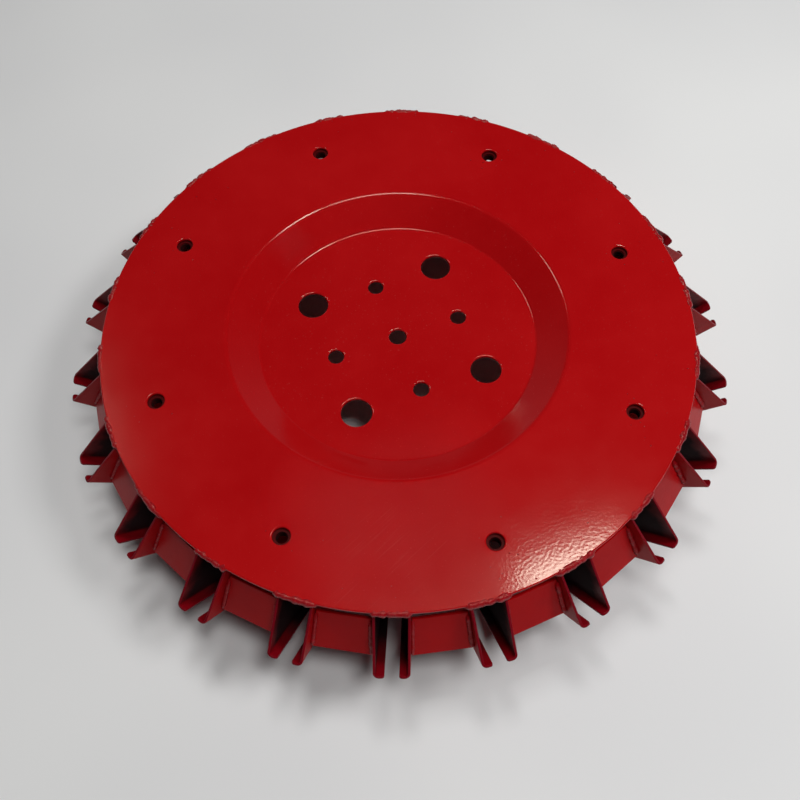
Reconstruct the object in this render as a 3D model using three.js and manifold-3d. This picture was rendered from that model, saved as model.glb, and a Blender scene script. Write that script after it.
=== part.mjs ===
// Brush-carrier rotor of a sweeping machine: a dished steel disc with a ring of
// inclined C-rails welded under its rim, flat panels welded between the rails and
// weld nuts under its outer bolt circle. The rotor stands on the rails' lower ends.
// Millimetres, +Z up along the rotor's axis, origin on the axis at standing height.
import * as THREE from 'three';
import { mergeVertices } from 'three/addons/utils/BufferGeometryUtils.js';
import Module from 'manifold-3d';

// Driving dimensions: disc
const DISC_RADIUS = 250;
const SHEET = 3;
const DISH_MOUTH_RADIUS = 145;
const DISH_FLOOR_RADIUS = 119;
const DISH_DEPTH = 20;
const DISH_BEND_RADIUS = 4;

// Driving dimensions: holes and nuts, all on the disc
const CENTRE_HOLE_DIAMETER = 15;
const HUB_BOLT_HOLE = { count: 4, pitchRadius: 56.25, diameter: 13.5, firstAngle: 0 };
const ACCESS_HOLE = { count: 4, pitchRadius: 82, diameter: 26, firstAngle: 45 };
const OUTER_BOLT_HOLE = { count: 8, pitchRadius: 209, diameter: 14, firstAngle: 0 };
const NUT_ACROSS_FLATS = 17;
const NUT_HEIGHT = 8;
const NUT_BORE_DIAMETER = 8.5;

// Driving dimensions: ring of rails and panels
const RAIL_COUNT = 22;
const RAIL_FIRST_ANGLE = 3.1;
const RAIL_INCLINE = 43;
const RAIL_TOP_RADIUS = 248.4;
const RAIL_LENGTH = 100;
const RAIL_WIDTH = 28;
const RAIL_DEPTH = 55;
const RAIL_SLOT = 11;
const RAIL_SHEET = 2;
const RAIL_BEND_RADIUS = 4.5;
const PANEL_SHEET = 3;
const PANEL_TOP = { radius: 248.5, drop: 17.5 };
const PANEL_FOOT = { radius: 266.6, drop: 49.2 };

// Gap kept between pieces that the welds join, and how finely round shapes are cut
const WELD_GAP = 0.3;
const DISC_SEGMENTS = 88;
const BEND_SEGMENTS = 3;
const BIG_HOLE_SEGMENTS = 24;
const SMALL_HOLE_SEGMENTS = 16;

const incline = THREE.MathUtils.degToRad(RAIL_INCLINE);
const railPitch = (2 * Math.PI) / RAIL_COUNT;
const railTopDrop = SHEET + WELD_GAP;
const discTop = railTopDrop + RAIL_LENGTH * Math.sin(incline) + RAIL_DEPTH * Math.cos(incline);

const discPaint = { color: 0xa30d11, roughness: 0.25, metalness: 0.0 };
const railPaint = { color: 0x8a0c14, roughness: 0.3, metalness: 0.0 };
const panelPaint = { color: 0x930c12, roughness: 0.3, metalness: 0.0 };
const nutPaint = { color: 0x7a0d12, roughness: 0.4, metalness: 0.2 };

const wasm = await Module();
wasm.setup();

// A closed outline from its corners [x, y, radius], with each radius drawn as a
// short arc that is tangent to both sides of its corner.
function roundedOutline(corners) {
  const points = [];
  corners.forEach(([x, y, radius = 0], index) => {
    const corner = new THREE.Vector2(x, y);
    if (radius === 0) {
      points.push(corner);
      return;
    }
    const before = corners[(index + corners.length - 1) % corners.length];
    const after = corners[(index + 1) % corners.length];
    const back = new THREE.Vector2(before[0] - x, before[1] - y).normalize();
    const ahead = new THREE.Vector2(after[0] - x, after[1] - y).normalize();
    const halfAngle = Math.acos(back.dot(ahead)) / 2;
    const bisector = back.clone().add(ahead).normalize();
    const centre = corner.clone().addScaledVector(bisector, radius / Math.sin(halfAngle));
    const start = corner.clone().addScaledVector(back, radius / Math.tan(halfAngle)).sub(centre);
    const turn = Math.sign(ahead.cross(back)) * (Math.PI - 2 * halfAngle);
    for (let step = 0; step <= BEND_SEGMENTS; step += 1) {
      const spoke = start.clone().rotateAround(new THREE.Vector2(), (turn * step) / BEND_SEGMENTS);
      points.push(spoke.add(centre));
    }
  });
  return points;
}

function toSolid(geometry) {
  const bare = geometry.clone();
  bare.deleteAttribute('normal');
  bare.deleteAttribute('uv');
  const merged = mergeVertices(bare, 1e-4);
  return new wasm.Manifold(new wasm.Mesh({
    numProp: 3,
    vertProperties: new Float32Array(merged.attributes.position.array),
    triVerts: new Uint32Array(merged.index.array),
  }));
}

function toGeometry(solid) {
  const mesh = solid.getMesh();
  const geometry = new THREE.BufferGeometry();
  geometry.setAttribute('position', new THREE.BufferAttribute(mesh.vertProperties, 3));
  geometry.setIndex(new THREE.BufferAttribute(mesh.triVerts, 1));
  geometry.computeVertexNormals();
  return geometry;
}

function namedMesh(name, geometry, paint) {
  const mesh = new THREE.Mesh(geometry, new THREE.MeshStandardMaterial(paint));
  mesh.name = name;
  return mesh;
}

// Angles of the places on a bolt circle, in radians.
function circleAngles({ count, firstAngle }) {
  const first = THREE.MathUtils.degToRad(firstAngle);
  return Array.from({ length: count }, (_, index) => first + (index * 2 * Math.PI) / count);
}

function drill(solid, circle, segments) {
  let drilled = solid;
  for (const angle of circleAngles(circle)) {
    const drillRadius = circle.diameter / 2;
    const bit = new THREE.CylinderGeometry(drillRadius, drillRadius, 4 * DISH_DEPTH, segments);
    bit.rotateX(Math.PI / 2);
    bit.translate(circle.pitchRadius * Math.cos(angle), circle.pitchRadius * Math.sin(angle), 0);
    drilled = drilled.subtract(toSolid(bit));
  }
  return drilled;
}

// Pressed disc: flat outer ring, conical dish wall and flat floor, one sheet throughout.
// The profile runs along the upper face inwards and back along the lower face.
function discGeometry() {
  const wallAngle = Math.atan2(DISH_DEPTH, DISH_MOUTH_RADIUS - DISH_FLOOR_RADIUS);
  const cornerShift = SHEET * Math.tan(wallAngle / 2);
  const outerBend = DISH_BEND_RADIUS + SHEET;
  const centreRadius = CENTRE_HOLE_DIAMETER / 2;
  const profile = roundedOutline([
    [DISC_RADIUS, 0],
    [DISH_MOUTH_RADIUS, 0, outerBend],
    [DISH_FLOOR_RADIUS, -DISH_DEPTH, DISH_BEND_RADIUS],
    [centreRadius, -DISH_DEPTH],
    [centreRadius, -DISH_DEPTH - SHEET],
    [DISH_FLOOR_RADIUS + cornerShift, -DISH_DEPTH - SHEET, outerBend],
    [DISH_MOUTH_RADIUS + cornerShift, -SHEET, DISH_BEND_RADIUS],
    [DISC_RADIUS, -SHEET],
  ]);
  profile.push(profile[0].clone());
  const blank = new THREE.LatheGeometry(profile, DISC_SEGMENTS);
  blank.rotateX(Math.PI / 2);
  let solid = toSolid(blank);
  solid = drill(solid, ACCESS_HOLE, BIG_HOLE_SEGMENTS);
  solid = drill(solid, HUB_BOLT_HOLE, SMALL_HOLE_SEGMENTS);
  solid = drill(solid, OUTER_BOLT_HOLE, SMALL_HOLE_SEGMENTS);
  return toGeometry(solid);
}

// Hexagon weld nut, its upper face at z = 0.
function nutGeometry() {
  const cornerRadius = NUT_ACROSS_FLATS / Math.sqrt(3);
  const hexagon = Array.from({ length: 6 }, (_, index) => {
    const angle = (index * Math.PI) / 3;
    return new THREE.Vector2(cornerRadius * Math.cos(angle), cornerRadius * Math.sin(angle));
  });
  const outline = new THREE.Shape(hexagon);
  const bore = new THREE.Path();
  bore.absarc(0, 0, NUT_BORE_DIAMETER / 2, 0, 2 * Math.PI, true);
  outline.holes.push(bore);
  const options = { depth: NUT_HEIGHT, bevelEnabled: false, curveSegments: SMALL_HOLE_SEGMENTS / 2 };
  const geometry = new THREE.ExtrudeGeometry(outline, options);
  geometry.translate(0, 0, -NUT_HEIGHT);
  return geometry;
}

// C-rail lying along X: its cut end at x = 0, the web's outer face at z = 0 and the
// slot between its two lips facing -Z.
function railGeometry() {
  const half = RAIL_WIDTH / 2;
  const slot = RAIL_SLOT / 2;
  const inner = half - RAIL_SHEET;
  const innerBend = RAIL_BEND_RADIUS - RAIL_SHEET;
  const foot = -RAIL_DEPTH;
  const innerFoot = RAIL_SHEET - RAIL_DEPTH;
  const section = new THREE.Shape(roundedOutline([
    [slot, foot],
    [half, foot, RAIL_BEND_RADIUS],
    [half, 0, RAIL_BEND_RADIUS],
    [-half, 0, RAIL_BEND_RADIUS],
    [-half, foot, RAIL_BEND_RADIUS],
    [-slot, foot],
    [-slot, innerFoot],
    [-inner, innerFoot, innerBend],
    [-inner, -RAIL_SHEET, innerBend],
    [inner, -RAIL_SHEET, innerBend],
    [inner, innerFoot, innerBend],
    [slot, innerFoot],
  ]));
  const geometry = new THREE.ExtrudeGeometry(section, { depth: RAIL_LENGTH, bevelEnabled: false });
  geometry.rotateX(Math.PI / 2);
  geometry.rotateZ(Math.PI / 2);
  geometry.translate(-RAIL_LENGTH, 0, 0);
  return geometry;
}

// Half the width that a panel may have at a given radius: the side plates of its
// two neighbouring rails stand half a pitch away on each side.
function panelHalfWidth(radius) {
  const halfPitch = railPitch / 2;
  const plateOffset = RAIL_WIDTH / 2 + WELD_GAP;
  return (radius * Math.sin(halfPitch) - plateOffset) / Math.cos(halfPitch);
}

// Flat rim panel in its own plane: x along the rim, y up its slope, outer face at z = 0.
function panelGeometry(slope, height) {
  const innerShift = PANEL_SHEET * Math.sin(slope);
  const top = panelHalfWidth(PANEL_TOP.radius - innerShift);
  const foot = panelHalfWidth(PANEL_FOOT.radius - innerShift);
  const outline = new THREE.Shape([
    new THREE.Vector2(-foot, 0),
    new THREE.Vector2(foot, 0),
    new THREE.Vector2(top, height),
    new THREE.Vector2(-top, height),
  ]);
  const geometry = new THREE.ExtrudeGeometry(outline, { depth: PANEL_SHEET, bevelEnabled: false });
  geometry.translate(0, 0, -PANEL_SHEET);
  return geometry;
}

function addNuts(rotor) {
  const geometry = nutGeometry();
  circleAngles(OUTER_BOLT_HOLE).forEach((angle, index) => {
    const nut = namedMesh(`weld_nut_${index + 1}`, geometry, nutPaint);
    const radius = OUTER_BOLT_HOLE.pitchRadius;
    nut.position.set(radius * Math.cos(angle), radius * Math.sin(angle), discTop - SHEET - WELD_GAP);
    nut.rotation.z = angle;
    rotor.add(nut);
  });
}

// Each rail hangs in a spoke group turned to its angle, tilted so that its open end
// faces outwards and up, with the web's end just under the disc's edge.
function addRails(rotor) {
  const geometry = railGeometry();
  const ring = { count: RAIL_COUNT, firstAngle: RAIL_FIRST_ANGLE };
  circleAngles(ring).forEach((angle, index) => {
    const rail = namedMesh(`brush_rail_${String(index + 1).padStart(2, '0')}`, geometry, railPaint);
    rail.position.set(RAIL_TOP_RADIUS, 0, discTop - railTopDrop);
    rail.rotation.y = -incline;
    const spoke = new THREE.Group();
    spoke.rotation.z = angle;
    spoke.add(rail);
    rotor.add(spoke);
  });
}

// Each panel stands between two rails, its foot farther out than its top edge.
function addPanels(rotor) {
  const run = PANEL_FOOT.radius - PANEL_TOP.radius;
  const rise = PANEL_FOOT.drop - PANEL_TOP.drop;
  const slope = Math.atan2(rise, run);
  const geometry = panelGeometry(slope, Math.hypot(run, rise));
  const gaps = { count: RAIL_COUNT, firstAngle: RAIL_FIRST_ANGLE + 180 / RAIL_COUNT };
  circleAngles(gaps).forEach((angle, index) => {
    const panel = namedMesh(`rim_panel_${String(index + 1).padStart(2, '0')}`, geometry, panelPaint);
    panel.rotation.x = slope;
    const upright = new THREE.Group();
    upright.rotation.z = Math.PI / 2;
    upright.position.set(PANEL_FOOT.radius, 0, discTop - PANEL_FOOT.drop);
    upright.add(panel);
    const spoke = new THREE.Group();
    spoke.rotation.z = angle;
    spoke.add(upright);
    rotor.add(spoke);
  });
}

const rotor = new THREE.Group();
rotor.name = 'brush_carrier_rotor';
const disc = namedMesh('dished_disc', discGeometry(), discPaint);
disc.position.z = discTop;
rotor.add(disc);
addNuts(rotor);
addRails(rotor);
addPanels(rotor);

export default rotor;
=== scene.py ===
import math
import random

import bmesh
import bpy
from mathutils import Matrix, Vector, noise


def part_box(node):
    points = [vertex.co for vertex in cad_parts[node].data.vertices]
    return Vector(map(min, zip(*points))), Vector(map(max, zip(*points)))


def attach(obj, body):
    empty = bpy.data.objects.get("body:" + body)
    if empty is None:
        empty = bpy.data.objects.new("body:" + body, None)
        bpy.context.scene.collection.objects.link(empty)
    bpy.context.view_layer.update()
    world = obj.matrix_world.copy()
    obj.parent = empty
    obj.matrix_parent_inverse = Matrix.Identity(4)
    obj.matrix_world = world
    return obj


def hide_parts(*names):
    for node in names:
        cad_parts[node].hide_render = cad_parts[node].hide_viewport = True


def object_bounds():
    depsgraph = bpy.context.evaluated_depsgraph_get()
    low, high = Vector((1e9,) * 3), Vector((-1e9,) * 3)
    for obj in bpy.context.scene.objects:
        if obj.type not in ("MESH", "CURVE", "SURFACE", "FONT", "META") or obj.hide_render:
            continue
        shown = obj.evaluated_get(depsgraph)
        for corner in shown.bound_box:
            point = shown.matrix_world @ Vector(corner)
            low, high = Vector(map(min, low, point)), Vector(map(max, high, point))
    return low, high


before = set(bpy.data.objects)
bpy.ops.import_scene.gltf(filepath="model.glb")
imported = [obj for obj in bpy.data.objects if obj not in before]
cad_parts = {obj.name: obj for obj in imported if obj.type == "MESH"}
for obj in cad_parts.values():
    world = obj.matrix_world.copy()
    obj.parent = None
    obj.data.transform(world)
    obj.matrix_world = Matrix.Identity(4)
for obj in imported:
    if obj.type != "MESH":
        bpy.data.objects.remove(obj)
cad_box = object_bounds()
random.seed(22)
noise.seed_set(22)


# Dished disc: one blank of 3 mm steel, cut round, pressed into a dish in the middle and
# drilled. Its edges are blunt under the paint. Gloss red paint lies on it with a slight
# orange peel, and it carries faint rub marks and dust.
DISC_SHEET = 0.003
DISC_EDGE_ROUND = 0.0011
DISC_STEPS = 352
HOLE_STEPS = 48
DISH_MOUTH_RADIUS = 0.145
DISH_FLOOR_RADIUS = 0.119
DISH_DEPTH = 0.020
DISH_BEND = 0.004
ROUND_STEPS = 8
BLUNT_STEPS = 4
TOUCHING = 1e-6
RING_SLACK = 1e-5
LEVEL_NORMAL = 0.99999
DISC_HOLES = [
    {"count": 1, "circle": 0.0, "first": 0.0, "radius": 0.0075, "drop": DISH_DEPTH},
    {"count": 4, "circle": 0.05625, "first": 0.0, "radius": 0.00675, "drop": DISH_DEPTH},
    {"count": 4, "circle": 0.082, "first": 45.0, "radius": 0.013, "drop": DISH_DEPTH},
    {"count": 8, "circle": 0.209, "first": 0.0, "radius": 0.007, "drop": 0.0},
]
PAINT_RED = (0.360, 0.0024, 0.0036, 1.0)
PAINT_FADED = (0.420, 0.0060, 0.0070, 1.0)
PAINT_RUBBED = (0.560, 0.0700, 0.0650, 1.0)
RUB_DIRECTION = math.radians(24)
RUB_SIZE = (0.06, 0.0012, 1.0)
RUBBED_PLACE = (-0.075, -0.195)
RUBBED_SPREAD = (0.11, 0.08, 1.0)

disc_box_low, disc_box_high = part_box("dished_disc")
disc_radius = disc_box_high.x
disc_top = disc_box_high.z


class Wire:
    """An output of a material's node tree. Sums and products of wires add Math nodes."""

    def __init__(self, tree, socket=None):
        self.tree = tree
        self.socket = socket

    def node(self, kind, values=None, output=0, **settings):
        made = self.tree.nodes.new("ShaderNode" + kind)
        for name, setting in settings.items():
            setattr(made, name, setting)
        for name, value in (values or {}).items():
            if isinstance(value, Wire):
                self.tree.links.new(value.socket, made.inputs[name])
            else:
                made.inputs[name].default_value = value
        return Wire(self.tree, made.outputs[output] if made.outputs else None)

    def math(self, operation, *terms):
        return self.node("Math", dict(enumerate(terms)), operation=operation)

    def __add__(self, other):
        return self.math("ADD", self, other)

    def __rsub__(self, other):
        return self.math("SUBTRACT", other, self)

    def __mul__(self, other):
        return self.math("MULTIPLY", self, other)

    __radd__ = __add__
    __rmul__ = __mul__

    def step(self, low, high):
        """0 below low, 1 above high, smooth between."""
        span = {"Value": self, "From Min": low, "From Max": high}
        return self.node("MapRange", span, interpolation_type="SMOOTHSTEP")

    def colours(self, first, second):
        """A colour that goes from first to second as this value goes from 0 to 1."""
        values = {"Factor": self, 6: first, 7: second}
        return self.node("Mix", values, output=2, data_type="RGBA")

    def bump(self, height, distance, before=None):
        values = {"Height": height, "Distance": distance}
        if before:
            values["Normal"] = before
        return self.node("Bump", values)


def new_material(name):
    material = bpy.data.materials.new(name)
    material.use_nodes = True
    tree = material.node_tree
    tree.nodes.clear()
    return material, Wire(tree)


def finish_material(wire, values):
    shader = wire.node("BsdfPrincipled", values)
    wire.node("OutputMaterial", {"Surface": shader})


def speckle(wire, place, size, detail=2.0):
    """Cloudy noise whose blots are about size metres across."""
    return wire.node("TexNoise", {"Vector": place, "Scale": 0.5 / size, "Detail": detail})


def disc_paint():
    """Gloss red topcoat: orange peel, faint rub marks low on the ring, a little dust."""
    material, wire = new_material("disc_gloss_red")
    place = wire.node("TexCoord", output="Object")
    cloud = speckle(wire, place, 0.060)
    mottle = speckle(wire, place, 0.009, detail=3.0)
    peel = speckle(wire, place, 0.0011, detail=0.0)
    sag = speckle(wire, place, 0.035, detail=0.0)
    dust = speckle(wire, place, 0.0006, detail=0.0).step(0.78, 0.84)

    along = {"Vector": place, "Rotation": (0.0, 0.0, RUB_DIRECTION), "Scale": RUB_SIZE}
    lines = wire.node("Mapping", along, vector_type="TEXTURE")
    streak = wire.node("TexNoise", {"Vector": lines, "Scale": 1.0, "Detail": 1.0})
    spot = {"Vector": place, "Location": (*RUBBED_PLACE, disc_top), "Scale": RUBBED_SPREAD}
    around = wire.node("Mapping", spot, vector_type="TEXTURE")
    rubbed_area = wire.node("TexGradient", {"Vector": around}, gradient_type="SPHERICAL", output=1)
    patchy = speckle(wire, place, 0.02).step(0.4, 0.6)
    rub = streak.step(0.60, 0.74) * rubbed_area.step(0.0, 0.6) * patchy

    faded = cloud.step(0.35, 0.70) * 0.45 + mottle.step(0.3, 0.8) * 0.20
    tone = faded.colours(PAINT_RED, PAINT_FADED)
    rubbed = (rub * 0.14 + dust * 0.30).colours(tone, PAINT_RUBBED)
    waves = wire.bump(sag, 0.00012)
    skin = wire.bump(peel, 0.000024, before=waves)
    surface = wire.bump(rub, 0.000003, before=skin)
    finish_material(wire, {
        "Base Color": rubbed,
        "Roughness": 0.08 + mottle * 0.05 + rub * 0.10,
        "Normal": surface,
        "Specular IOR Level": 0.50,
    })
    return material


def rounded(corners, steps=ROUND_STEPS):
    """The points of an open outline whose corners (x, y, radius) are drawn as arcs."""
    points = []
    for index, (x, y, radius) in enumerate(corners):
        corner = Vector((x, y))
        if radius == 0.0:
            points.append(corner)
            continue
        back = (Vector(corners[index - 1][:2]) - corner).normalized()
        ahead = (Vector(corners[index + 1][:2]) - corner).normalized()
        half = back.angle(ahead) / 2
        centre = corner + (back + ahead).normalized() * (radius / math.sin(half))
        start = corner + back * (radius / math.tan(half)) - centre
        side = 1 if back.x * ahead.y - back.y * ahead.x < 0 else -1
        turn = side * (math.pi - 2 * half)
        for step in range(steps + 1):
            spoke = start.copy()
            spoke.rotate(Matrix.Rotation(turn * step / steps, 2))
            points.append(centre + spoke)
    return points


def join(bm, part):
    """Adds a finished part to bm. Each part is shaped on its own first, which is quicker."""
    carrier = bpy.data.meshes.new("carrier")
    part.to_mesh(carrier)
    part.free()
    bm.from_mesh(carrier)
    bpy.data.meshes.remove(carrier)


def spin_outline(bm, outline, centre, steps):
    """Turns an outline of (radius, height) points about the upright axis through centre."""
    part = bmesh.new()
    spots = [part.verts.new((centre.x + radius, centre.y, height)) for radius, height in outline]
    edges = [part.edges.new(pair) for pair in zip(spots, spots[1:])]
    bmesh.ops.spin(part, geom=spots + edges, cent=centre, axis=(0, 0, 1), angle=2 * math.pi,
                   steps=steps, use_merge=True)
    join(bm, part)


def fill_flat(bm, height, low, high):
    """Fills the flat region at a height between two radii, round the holes in it."""
    def belongs(edge):
        level = all(abs(vert.co.z - height) < TOUCHING for vert in edge.verts)
        inside = all(low - RING_SLACK < vert.co.xy.length < high + RING_SLACK for vert in edge.verts)
        return len(edge.link_faces) == 1 and level and inside
    rims = [edge for edge in bm.edges if belongs(edge)]
    bmesh.ops.triangle_fill(bm, edges=rims, use_beauty=True)


def edge_outline(radius, sign, top, bottom, blunt):
    """The wall of a cut edge with both corners blunted. sign is 1 outside, -1 in a hole.

    The outline's two end points only aim its arcs, and are dropped.
    """
    inner = radius - sign * blunt * 2
    corners = [(inner, top, 0.0), (radius, top, blunt), (radius, bottom, blunt), (inner, bottom, 0.0)]
    return rounded(corners, BLUNT_STEPS)[1:-1]


def smooth_piece(name, bm, materials, sharp_angle=math.radians(32)):
    """Makes the finished piece: smooth shading with its creases kept, on the rotor's body."""
    for face in bm.faces:
        face.smooth = True
    for edge in bm.edges:
        if len(edge.link_faces) == 2 and edge.calc_face_angle(0.0) > sharp_angle:
            edge.smooth = False
    mesh = bpy.data.meshes.new(name)
    bm.to_mesh(mesh)
    bm.free()
    piece = bpy.data.objects.new(name, mesh)
    bpy.context.scene.collection.objects.link(piece)
    for material in materials:
        mesh.materials.append(material)
    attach(piece, "root")
    return piece


def press_disc():
    """The walls of the holes, rim and dish, spun, with the flats filled in between them."""
    bm = bmesh.new()
    axis = Vector((0.0, 0.0, 0.0))
    under = disc_top - DISC_SHEET
    for holes in DISC_HOLES:
        for index in range(holes["count"]):
            angle = math.radians(holes["first"] + 360 * index / holes["count"])
            centre = Vector((math.cos(angle), math.sin(angle), 0.0)) * holes["circle"]
            drop = holes["drop"]
            wall = edge_outline(holes["radius"], -1, disc_top - drop, under - drop, DISC_EDGE_ROUND)
            spin_outline(bm, wall, centre, HOLE_STEPS)
    spin_outline(bm, edge_outline(disc_radius, 1, disc_top, under, DISC_EDGE_ROUND), axis, DISC_STEPS)
    slope = math.atan2(DISH_DEPTH, DISH_MOUTH_RADIUS - DISH_FLOOR_RADIUS)
    shift = DISC_SHEET * math.tan(slope / 2)
    far = DISH_BEND * 3
    faces = [(disc_top, 0.0, DISH_BEND + DISC_SHEET, DISH_BEND),
             (under, shift, DISH_BEND, DISH_BEND + DISC_SHEET)]
    flats = []
    for level, grow, mouth_bend, floor_bend in faces:
        mouth = DISH_MOUTH_RADIUS + grow
        floor = DISH_FLOOR_RADIUS + grow
        corners = [(mouth + far, level, 0.0), (mouth, level, mouth_bend),
                   (floor, level - DISH_DEPTH, floor_bend), (floor - far, level - DISH_DEPTH, 0.0)]
        wall = rounded(corners)[1:-1]
        spin_outline(bm, wall, axis, DISC_STEPS)
        flats.append((level, wall[0].x, disc_radius))
        flats.append((level - DISH_DEPTH, 0.0, wall[-1].x))
    for flat in flats:
        fill_flat(bm, *flat)
    bmesh.ops.remove_doubles(bm, verts=bm.verts, dist=TOUCHING)
    bmesh.ops.recalc_face_normals(bm, faces=bm.faces)
    # A crease round each flat keeps the light on it level.
    flat_faces = {face for face in bm.faces if abs(face.normal.z) > LEVEL_NORMAL}
    for edge in bm.edges:
        edge.smooth = len({face in flat_faces for face in edge.link_faces}) == 1
    return bm


disc = smooth_piece("pressed_disc", press_disc(), [disc_paint()], sharp_angle=math.radians(60))
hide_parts("dished_disc")


# Brush rails: stubs of cold-formed C-rail, 2 mm steel with both edges bent in to lips, cut
# square and left open. Each is welded by its web under the disc's edge and leans so that its
# open end faces out and up. Inside they fade from a darker red to near black: painted shade, on thin
# paint.
RAIL_COUNT = 22
RAIL_FIRST_ANGLE = math.radians(3.1)
RAIL_INCLINE = math.radians(43)
RAIL_TOP_RADIUS = 0.2484
RAIL_LENGTH = 0.100
RAIL_WIDTH = 0.028
RAIL_DEPTH = 0.055
RAIL_SLOT = 0.011
RAIL_SHEET = 0.002
RAIL_BEND = 0.0045
LIP_CORNER = 0.0022
WELD_GAP = 0.0003
RAIL_RED = (0.340, 0.0020, 0.0040, 1.0)
RAIL_DULL = (0.260, 0.0040, 0.0070, 1.0)
CUT_RED = (0.170, 0.0020, 0.0080, 1.0)
INSIDE_SHADED_RED = (0.170, 0.0015, 0.0050, 1.0)
BARE_AND_SHADED_DARK = (0.018, 0.0045, 0.0060, 1.0)
CUT_BLUNT = 0.0004
CUT_EDGE_ANGLE = math.radians(50)

rail_top = disc_top - DISC_SHEET - WELD_GAP
rail_pitch = 2 * math.pi / RAIL_COUNT


def sheet_paint(name, red, dull):
    """The same red on rough sheet: thinner, with runs and a duller film in places."""
    material, wire = new_material(name)
    place = wire.node("TexCoord", output="Object")
    cloud = speckle(wire, place, 0.018, detail=3.0)
    mottle = speckle(wire, place, 0.004, detail=3.0)
    peel = speckle(wire, place, 0.0014, detail=1.0)
    dulled = cloud.step(0.35, 0.75) * 0.6 + mottle.step(0.4, 0.8) * 0.25
    skin = wire.bump(peel, 0.00008, before=wire.bump(cloud, 0.0003))
    finish_material(wire, {
        "Base Color": dulled.colours(red, dull),
        "Roughness": 0.26 + mottle * 0.12,
        "Normal": skin,
        "Specular IOR Level": 0.08,
    })
    return material


def inside_paint():
    """Inside a rail: a darker red that fades to near black deeper in, later on the lips than on the side
    plates: painted shade inside the channel, over thin paint.
    """
    material, wire = new_material("rail_inside_painted_shade")
    in_rail = wire.node("TexCoord", output="UV")
    depth = wire.node("SeparateXYZ", {"Vector": in_rail}, output="X")
    drop = wire.node("SeparateXYZ", {"Vector": in_rail}, output="Y")
    place = wire.node("TexCoord", output="Object")
    cloud = speckle(wire, place, 0.008, detail=4.0)
    lip = drop.step(0.90, 0.97)
    ragged = depth + cloud * 0.30
    # reach runs from a darker red near the open end to near black deeper in, later on the lips: painted
    # shade inside the channel.
    reach = ragged.step(0.12, 0.30) * (1.0 - lip) + ragged.step(0.30, 0.75) * lip
    finish_material(wire, {
        "Base Color": reach.colours(INSIDE_SHADED_RED, BARE_AND_SHADED_DARK),
        "Roughness": 0.35 + reach * 0.3,
        "Normal": wire.bump(speckle(wire, place, 0.0012), 0.0001),
        "Specular IOR Level": 0.20,
    })
    return material


def even_shading(piece):
    """Keeps the light level on flat faces next to rounded ones."""
    weighted = piece.modifiers.new("even_shading", "WEIGHTED_NORMAL")
    weighted.keep_sharp = True


def blunt_edges(piece):
    """Takes the sharpness off sawn and sheared edges."""
    bevel = piece.modifiers.new("blunt_edges", "BEVEL")
    bevel.width = CUT_BLUNT
    bevel.segments = 2
    bevel.limit_method = "ANGLE"
    bevel.angle_limit = CUT_EDGE_ANGLE


def form_rail(place):
    """One rail's outer skin, from its section pulled along its length; place puts it in the ring."""
    half = RAIL_WIDTH / 2
    slot = RAIL_SLOT / 2
    section = rounded([
        (slot, -RAIL_DEPTH, 0.0), (half, -RAIL_DEPTH, RAIL_BEND), (half, 0.0, RAIL_BEND),
        (-half, 0.0, RAIL_BEND), (-half, -RAIL_DEPTH, RAIL_BEND), (-slot, -RAIL_DEPTH, 0.0)])
    bm = bmesh.new()
    spots = [bm.verts.new((0.0, across, up)) for across, up in section]
    edges = [bm.edges.new(pair) for pair in zip(spots, spots[1:])]
    pulled = bmesh.ops.extrude_edge_only(bm, edges=edges)["geom"]
    far_end = [item for item in pulled if isinstance(item, bmesh.types.BMVert)]
    bmesh.ops.translate(bm, verts=far_end, vec=(-RAIL_LENGTH, 0.0, 0.0))
    bm.normal_update()
    web = max(bm.faces, key=lambda face: face.calc_center_median().z)
    if web.normal.z < 0:
        bmesh.ops.reverse_faces(bm, faces=bm.faces)
    tips = [spots[0], spots[-1]]
    bmesh.ops.bevel(bm, geom=tips, offset=LIP_CORNER, affect="VERTICES", segments=4, profile=0.5,
                    material=-1)
    depths = bm.loops.layers.uv.new("rail_depth")
    for face in bm.faces:
        for loop in face.loops:
            loop[depths].uv = (-loop.vert.co.x / RAIL_LENGTH, -loop.vert.co.z / RAIL_DEPTH)
    bmesh.ops.transform(bm, matrix=place, verts=bm.verts)
    return bm


rail_paint = sheet_paint("rail_gloss_red", RAIL_RED, RAIL_DULL)
rail_inside = inside_paint()
rail_cut = sheet_paint("rail_cut_edge_red", CUT_RED, CUT_RED)
lean = Matrix.Translation((RAIL_TOP_RADIUS, 0.0, rail_top)) @ Matrix.Rotation(-RAIL_INCLINE, 4, "Y")
for index in range(RAIL_COUNT):
    spoke = Matrix.Rotation(RAIL_FIRST_ANGLE + index * rail_pitch, 4, "Z")
    label = f"{index + 1:02d}"
    rail = smooth_piece(f"formed_rail_{label}", form_rail(spoke @ lean),
                        [rail_paint, rail_inside, rail_cut])
    wall = rail.modifiers.new("sheet_thickness", "SOLIDIFY")
    wall.thickness = RAIL_SHEET
    wall.offset = -1.0
    wall.use_even_offset = True
    wall.material_offset = 1
    wall.material_offset_rim = 2
    blunt_edges(rail)
    even_shading(rail)
    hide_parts(f"brush_rail_{label}")


# Rim panels: trapezoids of 3 mm steel sheared from flat bar, set between the rails with
# their feet leaning outwards and welded to the rails' side plates.
PANEL_SHEET = 0.003
PANEL_TOP_RADIUS = 0.2485
PANEL_TOP_DROP = 0.0175
PANEL_FOOT_RADIUS = 0.2666
PANEL_FOOT_DROP = 0.0492
PANEL_RED = (0.380, 0.0020, 0.0035, 1.0)
PANEL_DULL = (0.300, 0.0030, 0.0055, 1.0)

panel_slope = math.atan2(PANEL_FOOT_DROP - PANEL_TOP_DROP, PANEL_FOOT_RADIUS - PANEL_TOP_RADIUS)
panel_height = math.hypot(PANEL_FOOT_DROP - PANEL_TOP_DROP, PANEL_FOOT_RADIUS - PANEL_TOP_RADIUS)


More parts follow.
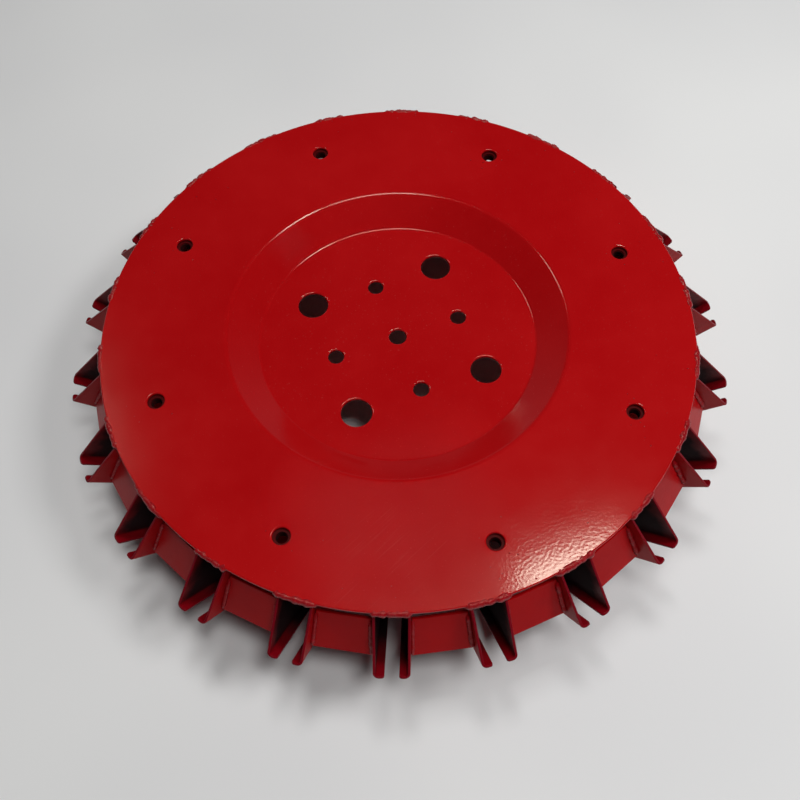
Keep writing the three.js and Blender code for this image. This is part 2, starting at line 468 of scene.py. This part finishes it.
def panel_half_width(radius):
    """Half of what is free at a radius between the side plates of two rails."""
    plate = RAIL_WIDTH / 2 + WELD_GAP
    return (radius * math.sin(rail_pitch / 2) - plate) / math.cos(rail_pitch / 2)


panel_shift = PANEL_SHEET * math.sin(panel_slope)
panel_foot = panel_half_width(PANEL_FOOT_RADIUS - panel_shift)
panel_head = panel_half_width(PANEL_TOP_RADIUS - panel_shift)


def shear_panel(place):
    """A panel in its own plane, x along the rim and y up its slope, then put in the ring."""
    bm = bmesh.new()
    corners = [(-panel_foot, 0), (panel_foot, 0), (panel_head, panel_height), (-panel_head, panel_height)]
    face = bm.faces.new([bm.verts.new((across, up, 0.0)) for across, up in corners])
    pulled = bmesh.ops.extrude_face_region(bm, geom=[face])["geom"]
    back = [item for item in pulled if isinstance(item, bmesh.types.BMVert)]
    bmesh.ops.translate(bm, verts=back, vec=(0.0, 0.0, -PANEL_SHEET))
    bmesh.ops.recalc_face_normals(bm, faces=bm.faces)
    bmesh.ops.bevel(bm, geom=bm.edges[:], offset=CUT_BLUNT, affect="EDGES", segments=2,
                    profile=0.5, material=-1)
    bmesh.ops.transform(bm, matrix=place, verts=bm.verts)
    return bm


panel_paint = sheet_paint("panel_gloss_red", PANEL_RED, PANEL_DULL)
stand = Matrix.Translation((PANEL_FOOT_RADIUS, 0.0, disc_top - PANEL_FOOT_DROP))
stand = stand @ Matrix.Rotation(math.pi / 2, 4, "Z") @ Matrix.Rotation(panel_slope, 4, "X")
for index in range(RAIL_COUNT):
    spoke = Matrix.Rotation(RAIL_FIRST_ANGLE + (index + 0.5) * rail_pitch, 4, "Z")
    label = f"{index + 1:02d}"
    panel = smooth_piece(f"sheared_panel_{label}", shear_panel(spoke @ stand), [panel_paint],
                         sharp_angle=math.radians(60))
    even_shading(panel)
    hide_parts(f"rim_panel_{label}")


# Weld nuts: hexagon M10 nuts with a chamfer at both ends and a cut thread, zinc plated
# and caught by the red spray on the outside only. They are welded behind the outer holes.
NUT_ACROSS_FLATS = 0.017
NUT_HEIGHT = 0.008
THREAD_CREST = 0.00425
THREAD_ROOT = 0.0049
THREAD_PITCH = 0.0015
NUT_STEPS = 48
NUT_CHAMFER_RADIUS = 0.0081
NUT_CHAMFER = math.tan(math.radians(30))
# These nut colours are kept very dark: painted shade for the shade under the disc, over real zinc and red
# overspray.
SHADED_ZINC = (0.030, 0.016, 0.016, 1.0)
DARKER_SHADED_ZINC = (0.012, 0.007, 0.007, 1.0)
SHADED_NUT_RED = (0.060, 0.0015, 0.0025, 1.0)

outer_holes = DISC_HOLES[3]
nut_top = disc_top - DISC_SHEET - WELD_GAP


def nut_finish():
    """Zinc plate with darker patches and patchy red overspray outside, all kept very dark: painted shade
    for the nut's place under the disc.
    """
    material, wire = new_material("nut_oversprayed_zinc_painted_shade")
    place = wire.node("TexCoord", output="Object")
    grime = speckle(wire, place, 0.0012, detail=4.0)
    from_axis = wire.node("TexCoord", output="UV")
    out = wire.node("SeparateXYZ", {"Vector": from_axis}, output="X")
    sprayed = (out + grime * 0.1).step(0.48, 0.54)
    metal = grime.step(0.35, 0.7).colours(SHADED_ZINC, DARKER_SHADED_ZINC)
    finish_material(wire, {
        "Base Color": sprayed.colours(metal, SHADED_NUT_RED),
        "Metallic": (1.0 - sprayed) * 0.8,
        "Roughness": 0.42 + grime * 0.2,
        "Normal": wire.bump(grime, 0.00005),
        "Specular IOR Level": 0.10,
    })
    return material


def cut_nut(centre, turn):
    """A nut turned round from its section, then drawn in to a hexagon and chamfered."""
    bm = bmesh.new()
    flat = NUT_ACROSS_FLATS / 2
    corner = flat / math.cos(math.radians(30))
    turns = int(NUT_HEIGHT / THREAD_PITCH)
    nut_foot = nut_top - NUT_HEIGHT
    outline = [(THREAD_ROOT, nut_top), (NUT_CHAMFER_RADIUS, nut_top), (corner, nut_top),
               (corner, nut_foot), (NUT_CHAMFER_RADIUS, nut_foot), (THREAD_ROOT, nut_foot)]
    for step in range(2 * turns):
        bore = THREAD_CREST if step % 2 == 0 else THREAD_ROOT
        outline.append((bore, nut_foot + (step + 0.5) * THREAD_PITCH / 2))
    outline.append(outline[0])
    spin_outline(bm, outline, centre, NUT_STEPS)
    bmesh.ops.remove_doubles(bm, verts=bm.verts, dist=TOUCHING)
    middle = nut_top - NUT_HEIGHT / 2
    for vert in bm.verts:
        arm = vert.co.xy - centre.xy
        if arm.length > NUT_CHAMFER_RADIUS + RING_SLACK:
            off_flat = (math.atan2(arm.y, arm.x) - turn) % (math.pi / 3) - math.pi / 6
            reach = flat / math.cos(off_flat)
            vert.co.xy = centre.xy + arm.normalized() * reach
            toward_middle = 1 if vert.co.z < middle else -1
            vert.co.z += toward_middle * (reach - NUT_CHAMFER_RADIUS) * NUT_CHAMFER
    bmesh.ops.recalc_face_normals(bm, faces=bm.faces)
    spread = bm.loops.layers.uv.new("from_axis")
    for face in bm.faces:
        for loop in face.loops:
            reach = (loop.vert.co.xy - centre.xy).length
            loop[spread].uv = (reach / corner, (nut_top - loop.vert.co.z) / NUT_HEIGHT)
    return bm


nut_material = nut_finish()
nut_places = []
for index in range(outer_holes["count"]):
    turn = 2 * math.pi * index / outer_holes["count"]
    centre = Vector((math.cos(turn), math.sin(turn), 0.0)) * outer_holes["circle"]
    nut_places.append((centre, turn))
    nut = smooth_piece(f"threaded_nut_{index + 1}", cut_nut(centre, turn), [nut_material],
                       sharp_angle=math.radians(25))
    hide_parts(f"weld_nut_{index + 1}")


# Weld beads: laid by hand with wire, so they are rippled, lumpy and uneven in width, and
# painted over. They join the disc's edge to the rails' webs, the panels' ends to the rails'
# side plates, and the nuts to the disc.
BEAD_SIDES = 10
BEAD_RIPPLE = 0.0013
BEAD_RIPPLE_DEPTH = 0.07
BEAD_TAPER = 9
BEAD_TIP = 0.04
BEAD_LUMPS = 260
BEAD_GRAIN = 900
BEAD_GRAIN_DEPTH = 0.35
BEAD_SINK = 0.0004
RIM_BEAD_RADIUS = 0.0027
RIM_BEAD_STEPS = 56
RIM_BEAD_UNEVEN = 0.35
RIM_BEAD_DROP = 0.0023
RIM_BEAD_OVERRUN = 0.0050
RIM_BEAD_WANDER = 0.0008
RIM_BEAD_SWAYS = 60
RIM_BEAD_RISE = 0.0005
PANEL_BEAD_RADIUS = 0.0020
PANEL_BEAD_STEPS = 48
PANEL_BEAD_UNEVEN = 0.30
PANEL_BEAD_START = (0.02, 0.08)
PANEL_BEAD_STOP = (0.90, 1.0)
PANEL_ENDS = [{"side": -1, "bead": 0.85}, {"side": 1, "bead": 1.1}]
TACKS_PER_NUT = 3
TACK_RADIUS = 0.0013
TACK_STEPS = 14
TACK_STEP_TURN = 4.0
TACK_UNEVEN = 0.4
WELD_RED = (0.260, 0.0030, 0.0060, 1.0)
WELD_WORN_AND_HIGHLIGHT = (0.330, 0.0150, 0.0220, 1.0)


def weld_paint(name, gloss):
    """Paint over rough weld metal, broken up by ripples, with lighter pinkish patches: painted highlight
    on the beads, on paint worn thin.
    """
    material, wire = new_material(name)
    place = wire.node("TexCoord", output="Object")
    scale = speckle(wire, place, 0.0011, detail=3.0)
    grit = speckle(wire, place, 0.0005)
    finish_material(wire, {
        # The lighter pinkish patches are painted highlight on the beads, partly paint worn thin.
        "Base Color": scale.step(0.50, 0.72).colours(WELD_RED, WELD_WORN_AND_HIGHLIGHT),
        "Roughness": 0.15 + grit * 0.3,
        "Normal": wire.bump(grit, 0.0002, before=wire.bump(scale, 0.0005)),
        "Specular IOR Level": gloss,
    })
    return material


def lay_bead(beads, path, radius, unevenness):
    """A closed, rippled tube along path, tapered at its ends and roughened by noise."""
    bm = bmesh.new()
    seed = Vector((random.uniform(0, 50), random.uniform(0, 50), random.uniform(0, 50)))
    count = len(path)
    length = sum((b - a).length for a, b in zip(path, path[1:]))
    ring = []
    verts = []
    for step, spot in enumerate(path):
        ahead = path[min(step + 1, count - 1)] - path[max(step - 1, 0)]
        share = step / (count - 1)
        taper = min(1.0, math.sqrt(min(share, 1 - share) * BEAD_TAPER + BEAD_TIP))
        ripple = 1 + BEAD_RIPPLE_DEPTH * math.sin(2 * math.pi * share * length / BEAD_RIPPLE)
        lump = 1 + unevenness * noise.noise(seed + spot * BEAD_LUMPS)
        size = radius * taper * ripple * lump
        frame_here = Matrix.Translation(spot) @ ahead.to_track_quat("Z", "Y").to_matrix().to_4x4()
        if not ring:
            made = bmesh.ops.create_circle(bm, cap_ends=True, segments=BEAD_SIDES, radius=size,
                                           matrix=frame_here)["verts"]
            ring = list({edge for vert in made for edge in vert.link_edges})
            verts += made
        else:
            pulled = bmesh.ops.extrude_edge_only(bm, edges=ring)["geom"]
            fresh = [item for item in pulled if isinstance(item, bmesh.types.BMVert)]
            ring = [item for item in pulled if isinstance(item, bmesh.types.BMEdge)]
            move = frame_here @ Matrix.Scale(size / last_size, 4) @ last_frame.inverted()
            bmesh.ops.transform(bm, matrix=move, verts=fresh)
            verts += fresh
        last_frame = frame_here
        last_size = size
    bmesh.ops.edgeloop_fill(bm, edges=ring)
    for vert in verts:
        push = noise.noise_vector(seed + vert.co * BEAD_GRAIN) * radius * unevenness
        vert.co += push * BEAD_GRAIN_DEPTH
    join(beads, bm)


def bead_piece(name, bm, material):
    """Makes one piece of all the beads in bm."""
    bmesh.ops.recalc_face_normals(bm, faces=bm.faces)
    piece = smooth_piece(name, bm, [material], sharp_angle=math.radians(70))


rim_weld_paint = weld_paint("rim_weld_gloss_red", gloss=0.5)
panel_weld_paint = weld_paint("panel_weld_dull_red", gloss=0.15)
rim_beads = bmesh.new()
for index in range(RAIL_COUNT):
    middle = RAIL_FIRST_ANGLE + index * rail_pitch
    reach = (RAIL_WIDTH / 2 + random.uniform(0.0, RIM_BEAD_OVERRUN)) / disc_radius
    path = []
    for step in range(RIM_BEAD_STEPS):
        angle = middle + reach * (2 * step / (RIM_BEAD_STEPS - 1) - 1)
        drift = noise.noise(Vector((angle * RIM_BEAD_SWAYS, index, 0.0)))
        radius = disc_radius - BEAD_SINK + RIM_BEAD_WANDER * drift
        height = disc_top - RIM_BEAD_DROP + RIM_BEAD_RISE * drift
        path.append(Vector((radius * math.cos(angle), radius * math.sin(angle), height)))
    lay_bead(rim_beads, path, RIM_BEAD_RADIUS, RIM_BEAD_UNEVEN)
bead_piece("rim_weld_beads", rim_beads, rim_weld_paint)

panel_beads = bmesh.new()
for index in range(RAIL_COUNT):
    spoke = Matrix.Rotation(RAIL_FIRST_ANGLE + (index + 0.5) * rail_pitch, 4, "Z")
    for end in PANEL_ENDS:
        start = random.uniform(*PANEL_BEAD_START)
        stop = random.uniform(*PANEL_BEAD_STOP)
        path = []
        for step in range(PANEL_BEAD_STEPS):
            share = start + (stop - start) * step / (PANEL_BEAD_STEPS - 1)
            across = end["side"] * (panel_foot + (panel_head - panel_foot) * share - BEAD_SINK)
            path.append(spoke @ stand @ Vector((across, panel_height * share, BEAD_SINK)))
        lay_bead(panel_beads, path, PANEL_BEAD_RADIUS * end["bead"], PANEL_BEAD_UNEVEN)
bead_piece("panel_weld_beads", panel_beads, panel_weld_paint)

tack_beads = bmesh.new()
for centre, turn in nut_places:
    for tack in range(TACKS_PER_NUT):
        middle = turn + math.radians(360 / TACKS_PER_NUT * tack + 30)
        path = []
        for step in range(TACK_STEPS):
            angle = middle + math.radians(TACK_STEP_TURN * (step - (TACK_STEPS - 1) / 2))
            arm = Vector((math.cos(angle), math.sin(angle), 0.0)) * (NUT_ACROSS_FLATS / 2 + BEAD_SINK)
            path.append(centre + arm + Vector((0.0, 0.0, nut_top - BEAD_SINK)))
        lay_bead(tack_beads, path, TACK_RADIUS, TACK_UNEVEN)
bead_piece("nut_tack_welds", tack_beads, panel_weld_paint)


# Weld spatter: small beads of metal that stuck to the disc near the welds and the nuts and
# were painted over.
SPATTER_COUNT = 90
SPATTER_RADII = (0.00025, 0.0007)
SPATTER_HEIGHT = 0.6
NUT_SPATTER_SPREAD = (0.002, 0.016)
RIM_SPATTER_SPREAD = 0.018
RIM_SPATTER_MARGIN = 0.003

spatter = bmesh.new()
for index in range(SPATTER_COUNT):
    if index % 3 == 0:
        centre = nut_places[random.randrange(len(nut_places))][0]
        away = random.uniform(0, 2 * math.pi)
        reach = outer_holes["radius"] + random.uniform(*NUT_SPATTER_SPREAD)
        spot = centre + Vector((math.cos(away), math.sin(away), 0.0)) * reach
    else:
        angle = random.uniform(0, 2 * math.pi)
        reach = disc_radius - abs(random.gauss(0.0, RIM_SPATTER_SPREAD)) - RIM_SPATTER_MARGIN
        spot = Vector((math.cos(angle), math.sin(angle), 0.0)) * reach
    size = random.uniform(*SPATTER_RADII)
    flatten = Matrix.Diagonal((1.0, 1.0, SPATTER_HEIGHT, 1.0))
    on_disc = Matrix.Translation((spot.x, spot.y, disc_top))
    bmesh.ops.create_icosphere(spatter, subdivisions=2, radius=size, matrix=on_disc @ flatten)
bead_piece("weld_spatter", spatter, rim_weld_paint)


# Floor: one plain pale flat sheet, painted a soft uneven white. The rotor stands on it on its
# rails' lower ends.
FLOOR_REACH = 6.0
FLOOR_GREY = (0.78, 0.78, 0.77, 1.0)
FLOOR_SHADE = (0.70, 0.70, 0.70, 1.0)


def floor_finish():
    material, wire = new_material("pale_floor")
    place = wire.node("TexCoord", output="Object")
    cloud = speckle(wire, place, 0.3)
    finish_material(wire, {
        "Base Color": cloud.step(0.3, 0.7).colours(FLOOR_GREY, FLOOR_SHADE),
        "Roughness": 0.7,
        "Specular IOR Level": 0.2,
    })
    return material


floor_mesh = bpy.data.meshes.new("floor")
floor_bm = bmesh.new()
bmesh.ops.create_grid(floor_bm, x_segments=1, y_segments=1, size=FLOOR_REACH)
floor_bm.to_mesh(floor_mesh)
floor_bm.free()
floor = bpy.data.objects.new("floor", floor_mesh)
floor.location.z = cad_box[0][2]
floor_mesh.materials.append(floor_finish())
bpy.context.scene.collection.objects.link(floor)


# Light: three soft lamps light the paint from the right, from behind and from the near side.
# Three flat lamps under the ceiling only give the gloss its bright spots and lines. All of
# them face straight down.
SOFT_LAMP_SIZE = (0.6, 0.6)
SOFT_LAMPS = [
    {"name": "right_lamp", "place": (1.25, -0.56, 1.76), "power": 21.0},
    {"name": "far_lamp", "place": (0.22, 0.70, 2.30), "power": 20.0},
    {"name": "near_lamp", "place": (0.22, -0.73, 2.30), "power": 24.0},
]
GLOSS_LAMPS = [
    {"name": "window_lamp", "place": (0.74, 0.24, 2.40), "size": (0.38, 0.40), "power": 10.5},
    {"name": "ceiling_lamp", "place": (0.10, 0.08, 2.40), "size": (0.75, 0.44), "power": 10.0},
    {"name": "back_lamp", "place": (-0.84, 1.58, 2.40), "size": (0.24, 0.70), "power": 7.0},
]
LAMP_WHITE = (1.0, 1.0, 1.0)
LAMP_WARM = (1.0, 0.95, 0.78)
ROOM_LOW = (0.130, 0.132, 0.140, 1.0)
ROOM_HIGH = (0.012, 0.012, 0.013, 1.0)
ROOM_FADE = 0.55


def hang_lamp(lamp, size, colour, for_gloss):
    """A lamp at its place above the disc's top, seen either by the gloss or by the rest."""
    light = bpy.data.lights.new(lamp["name"], "AREA")
    light.shape = "RECTANGLE"
    light.size, light.size_y = size
    light.energy = lamp["power"]
    light.color = colour
    holder = bpy.data.objects.new(lamp["name"], light)
    bpy.context.scene.collection.objects.link(holder)
    holder.visible_glossy = for_gloss
    holder.visible_diffuse = not for_gloss
    holder.location = Vector(lamp["place"]) + Vector((0.0, 0.0, disc_top))


for lamp in SOFT_LAMPS:
    hang_lamp(lamp, SOFT_LAMP_SIZE, LAMP_WHITE, for_gloss=False)
for lamp in GLOSS_LAMPS:
    hang_lamp(lamp, lamp["size"], LAMP_WARM, for_gloss=True)

world = bpy.data.worlds.new("studio")
bpy.context.scene.world = world
world.use_nodes = True
room = Wire(world.node_tree)
world.node_tree.nodes.clear()
up = room.node("SeparateXYZ", {"Vector": room.node("TexCoord")}, output="Z")
room_colour = up.step(0.0, ROOM_FADE).colours(ROOM_LOW, ROOM_HIGH)
room.node("OutputWorld", {"Surface": room.node("Background", {"Color": room_colour, "Strength": 1.0})})
bpy.context.scene.view_settings.view_transform = "Standard"


# Camera: it stands above the near edge and looks down into the dish, turned a little about
# its own line of sight.
CAMERA_PLACE = (-0.14475, -0.42425, disc_top + 0.6610)
CAMERA_TARGET = (-0.0239, -0.0705, disc_top)
CAMERA_ROLL = math.radians(-1.93)
CAMERA_LENS = 42.35
CAMERA_SENSOR = 36.0

camera_data = bpy.data.cameras.new("camera")
camera_data.lens = CAMERA_LENS
camera_data.sensor_width = CAMERA_SENSOR
camera = bpy.data.objects.new("camera", camera_data)
bpy.context.scene.collection.objects.link(camera)
sight = (Vector(CAMERA_TARGET) - Vector(CAMERA_PLACE)).to_track_quat("-Z", "Y").to_matrix().to_4x4()
camera.location = CAMERA_PLACE
camera.rotation_euler = (sight @ Matrix.Rotation(CAMERA_ROLL, 4, "Z")).to_euler()
bpy.context.scene.camera = camera
